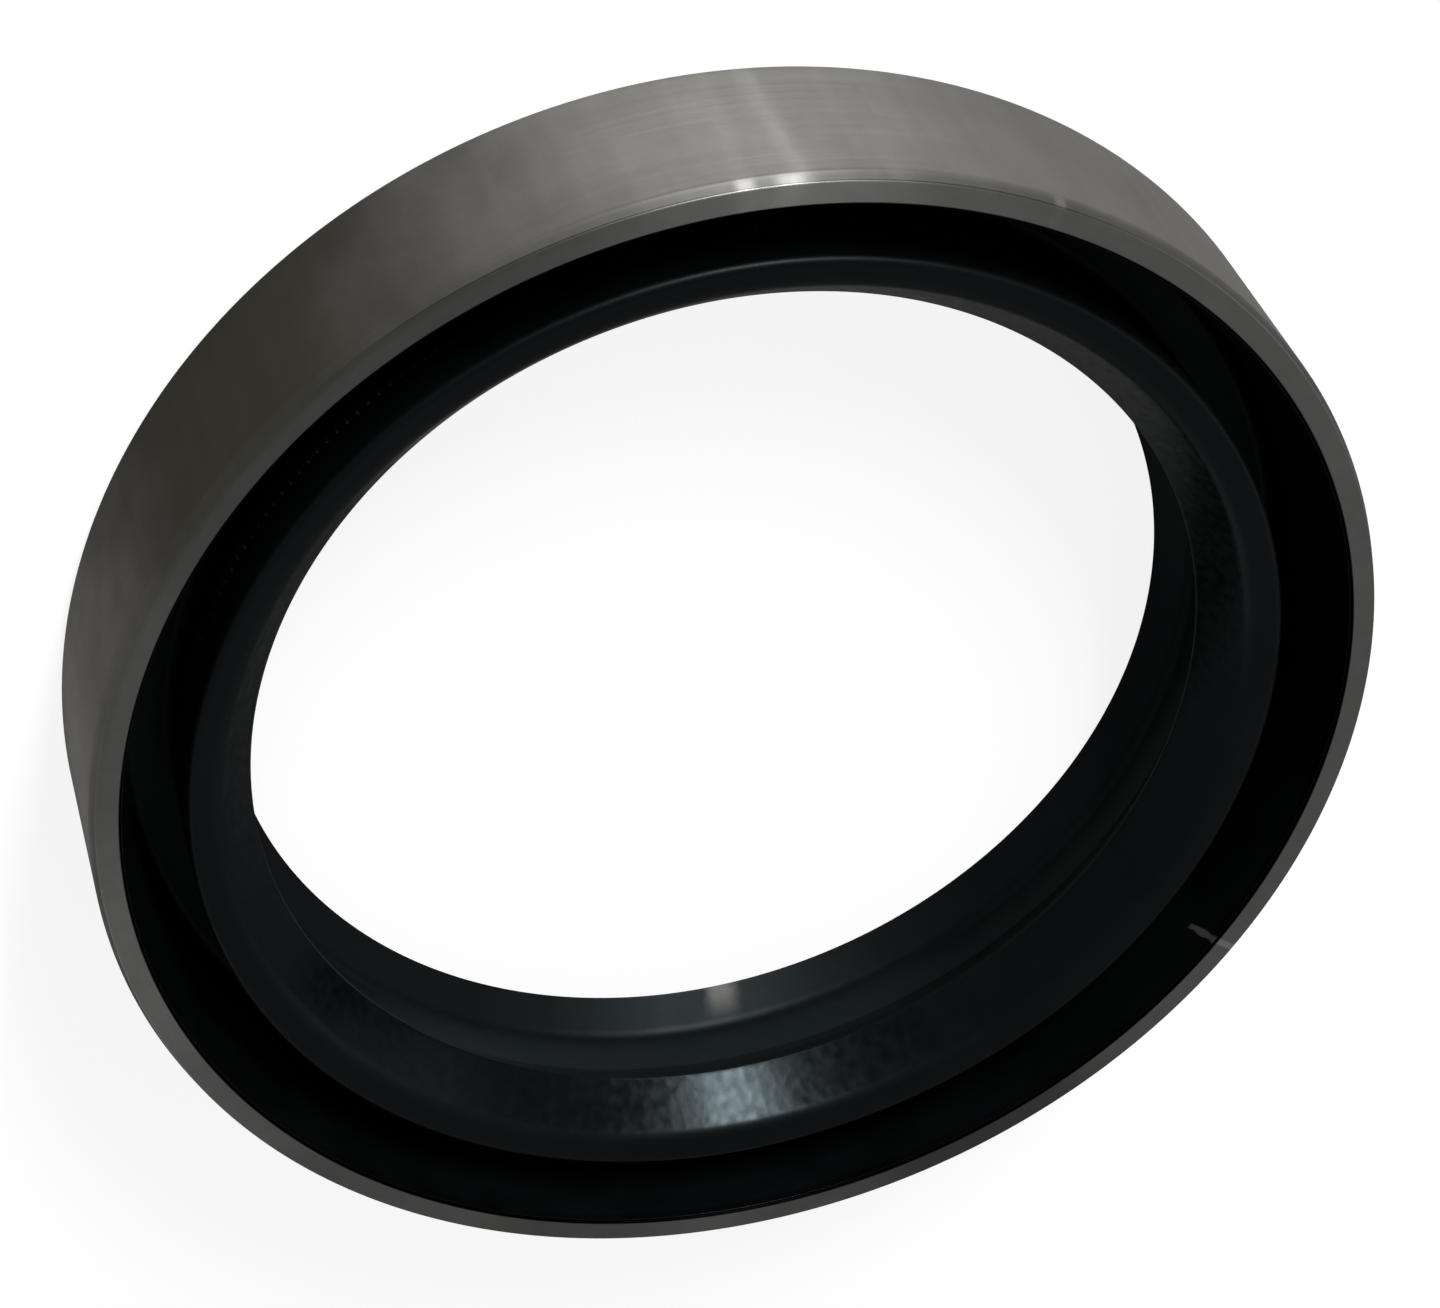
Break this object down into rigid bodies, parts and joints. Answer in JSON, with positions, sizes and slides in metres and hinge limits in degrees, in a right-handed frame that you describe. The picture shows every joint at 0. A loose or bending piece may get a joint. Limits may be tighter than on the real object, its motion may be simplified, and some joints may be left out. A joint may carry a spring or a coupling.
{
  "type": "oil seal",
  "caption": "Rotary shaft oil seal: a pressed steel case with a moulded rubber sealing lip, a dust lip and a garter spring.",
  "frame": {"origin": "middle of the closed face, which the seal lies on, on the shaft's axis", "axes": "+Z along the shaft's axis, from the closed face to the open, oil side"},
  "size_m": [0.072, 0.072, 0.012],
  "materials": {
    "case_steel": "satin grey steel, lightly scratched across the outer band",
    "black_rubber": "smooth moulded black rubber with a soft sheen",
    "spring_wire": "drawn bright wire"
  },
  "bodies": {
    "root": {"steel_case": "case_steel", "rubber_lip": "black_rubber", "garter_spring": "spring_wire"}
  },
  "joints": []
}
